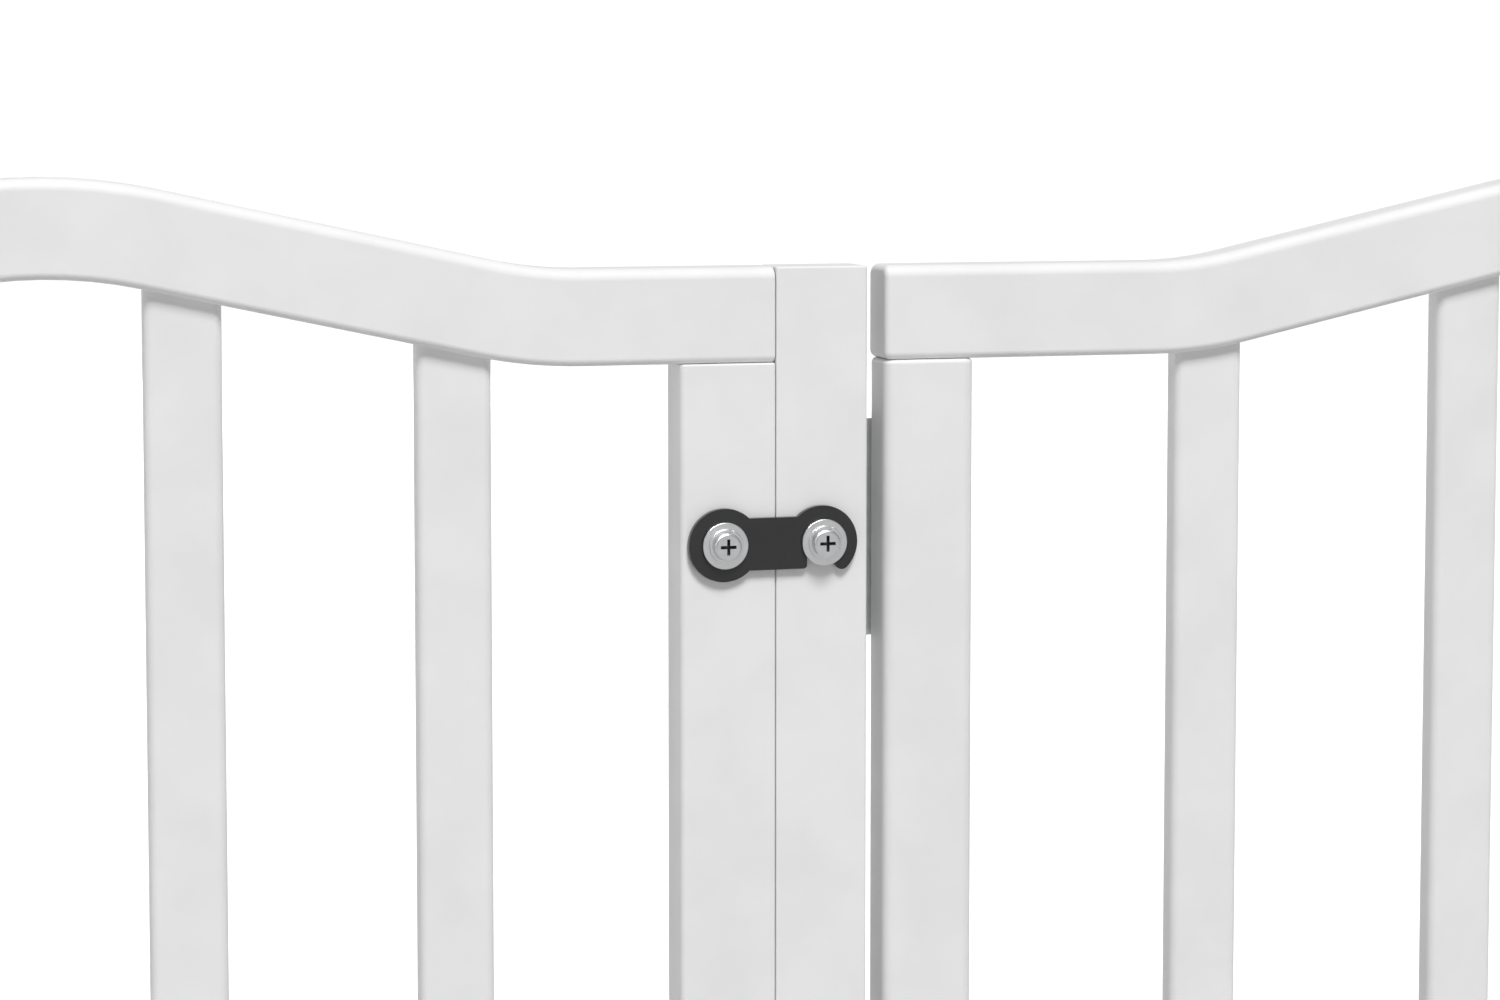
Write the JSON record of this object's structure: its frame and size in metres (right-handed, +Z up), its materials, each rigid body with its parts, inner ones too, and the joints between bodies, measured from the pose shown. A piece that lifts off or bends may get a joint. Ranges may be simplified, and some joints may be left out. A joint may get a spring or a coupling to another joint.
{
  "type": "pet gate",
  "caption": "Free-standing folding wooden pet gate: arched slatted panels hinged together, with a framed door closed by a swinging hook latch.",
  "frame": {"origin": "middle of the underside of the threshold, on the floor under the closed door", "axes": "+X to the right along the closed gate seen from the latch side, +Y backwards, +Z up"},
  "size_m": [1.3349, 0.4435, 0.7008],
  "materials": {
    "white_painted_wood": "pine bars sprayed with satin white paint",
    "bare_wood": "fluted beech dowel, unpainted",
    "zinc_plated_steel": "bright zinc-plated steel",
    "black_coated_steel": "black coated pressed steel"
  },
  "bodies": {
    "door_frame": {"hinge_post": "white_painted_wood", "latch_post": "white_painted_wood", "threshold": "white_painted_wood", "threshold_dowels": "bare_wood", "latch_keeper_bush": "zinc_plated_steel", "latch_keeper_washer": "zinc_plated_steel", "latch_keeper_lock_washer": "zinc_plated_steel", "latch_keeper_screw": "zinc_plated_steel", "door_hinge_fixed_leaves": "zinc_plated_steel", "door_hinge_fixed_screws": "zinc_plated_steel", "door_hinge_pins": "zinc_plated_steel", "frame_hinge_fixed_leaves": "zinc_plated_steel", "frame_hinge_fixed_screws": "zinc_plated_steel", "frame_hinge_pins": "zinc_plated_steel"},
    "door": {"door_top_rail": "white_painted_wood", "door_bottom_rail": "white_painted_wood", "door_left_stile": "white_painted_wood", "door_right_stile": "white_painted_wood", "door_slat_1": "white_painted_wood", "door_slat_2": "white_painted_wood", "door_slat_3": "white_painted_wood", "door_slat_4": "white_painted_wood", "door_dowels": "bare_wood", "door_hinge_moving_leaves": "zinc_plated_steel", "door_hinge_moving_screws": "zinc_plated_steel", "latch_pivot_bush": "zinc_plated_steel", "latch_pivot_washer": "zinc_plated_steel", "latch_pivot_lock_washer": "zinc_plated_steel", "latch_pivot_screw": "zinc_plated_steel"},
    "latch_hook": {"latch_hook": "black_coated_steel"},
    "middle_panel": {"middle_top_rail": "white_painted_wood", "middle_bottom_rail": "white_painted_wood", "middle_left_stile": "white_painted_wood", "middle_right_stile": "white_painted_wood", "middle_slat_1": "white_painted_wood", "middle_slat_2": "white_painted_wood", "middle_slat_3": "white_painted_wood", "middle_slat_4": "white_painted_wood", "middle_dowels": "bare_wood", "frame_hinge_moving_leaves": "zinc_plated_steel", "frame_hinge_moving_screws": "zinc_plated_steel", "end_hinge_fixed_leaves": "zinc_plated_steel", "end_hinge_fixed_screws": "zinc_plated_steel", "end_hinge_pins": "zinc_plated_steel"},
    "end_panel": {"end_top_rail": "white_painted_wood", "end_bottom_rail": "white_painted_wood", "end_left_stile": "white_painted_wood", "end_right_stile": "white_painted_wood", "end_slat_1": "white_painted_wood", "end_slat_2": "white_painted_wood", "end_slat_3": "white_painted_wood", "end_slat_4": "white_painted_wood", "end_dowels": "bare_wood", "end_hinge_moving_leaves": "zinc_plated_steel", "end_hinge_moving_screws": "zinc_plated_steel"}
  },
  "joints": [
    {"name": "door_hinge", "type": "hinge", "parent": "door_frame", "child": "door", "pos_m": [-0.223, -0.0121, 0.336], "axis": [0, 0, -1], "range_deg": [0, 180]},
    {"name": "hook_pivot", "type": "hinge", "parent": "door", "child": "latch_hook", "pos_m": [0.2066, -0.009, 0.5855], "axis": [0, -1, 0], "range_deg": [0, 120]},
    {"name": "frame_hinge", "type": "hinge", "parent": "door_frame", "child": "middle_panel", "pos_m": [0.257, 0.0121, 0.336], "axis": [0, 0, 1], "range_deg": [0, 180]},
    {"name": "end_hinge", "type": "hinge", "parent": "middle_panel", "child": "end_panel", "pos_m": [0.771, -0.0121, 0.336], "axis": [0, 0, -1], "range_deg": [-55, 125]}
  ]
}
